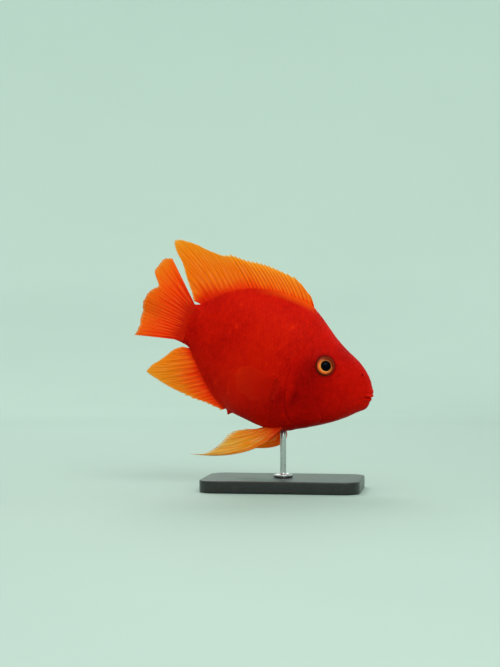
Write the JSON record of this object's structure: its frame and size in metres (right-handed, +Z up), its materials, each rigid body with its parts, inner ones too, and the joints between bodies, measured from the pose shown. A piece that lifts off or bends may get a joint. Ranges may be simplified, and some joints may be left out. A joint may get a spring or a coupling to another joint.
{
  "type": "blood parrot cichlid",
  "caption": "Life-size still model of a blood parrot cichlid, nose down with its fins spread, held by one rod over a flat base.",
  "frame": {"origin": "centre of the underside of the stand's base", "axes": "+Z up, +X the way the head points seen from above, +Y the fish's left"},
  "size_m": [0.1922, 0.08, 0.2047],
  "materials": {
    "skin": "moist scaled skin, deep red",
    "gill_cover": "moist skin, deep red",
    "fin": "thin orange membrane over rays",
    "pale_fin": "clear orange membrane over rays",
    "eye": "clear and wet, pale orange iris and black pupil",
    "stand_base": "satin black",
    "stand_rod": "brushed"
  },
  "bodies": {
    "root": {"head": "skin", "gill_cover_left": "gill_cover", "gill_cover_right": "gill_cover", "torso": "skin", "tail_stalk": "skin", "dorsal_fin": "fin", "anal_fin": "fin", "tail_fin": "fin", "pelvic_fin_left": "fin", "pelvic_fin_right": "fin", "pectoral_fin_left": "pale_fin", "pectoral_fin_right": "pale_fin", "eye_left": "eye", "eye_right": "eye", "stand_base": "stand_base", "stand_rod": "stand_rod"}
  },
  "joints": []
}
